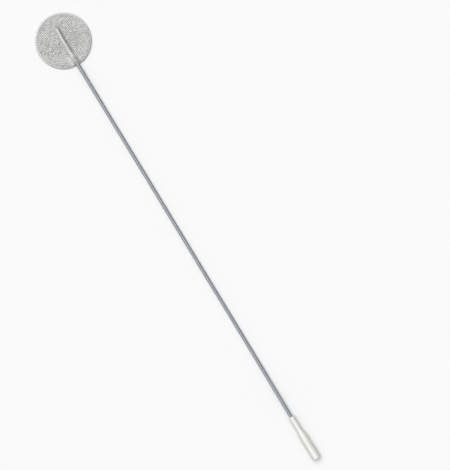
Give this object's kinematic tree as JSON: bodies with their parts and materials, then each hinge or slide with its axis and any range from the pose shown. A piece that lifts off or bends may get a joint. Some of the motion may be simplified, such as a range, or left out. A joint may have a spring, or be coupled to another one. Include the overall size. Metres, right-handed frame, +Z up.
{
  "type": "electrotherapy electrode pad",
  "caption": "Round self-adhesive electrotherapy electrode: knitted conductive fabric and clear gel, with a pigtail lead and a pin socket in a white sleeve.",
  "frame": {"origin": "centre of the round pad on the surface that it lies on, under the fabric's outer face", "axes": "+X along the lead, towards the socket's mouth; +Z up, out of the adhesive gel face; +Y to the left of the lead"},
  "size_m": [0.2922, 0.032, 0.0047],
  "materials": {
    "fabric": "silver-grey conductive knit",
    "gel": "clear, moist and glossy",
    "strip": "white film",
    "lead": "smooth soft jacket, bluish grey",
    "sleeve": "smooth moulded, ivory white",
    "strands": "bare twisted strands",
    "contact": "nickel plated"
  },
  "bodies": {
    "root": {"knit_fabric": "fabric", "gel_layer": "gel", "insulating_strip": "strip", "pad_strands": "strands", "lead_jacket": "lead", "connector_sleeve": "sleeve", "socket_contact": "contact", "crimped_strands": "strands"}
  },
  "joints": []
}
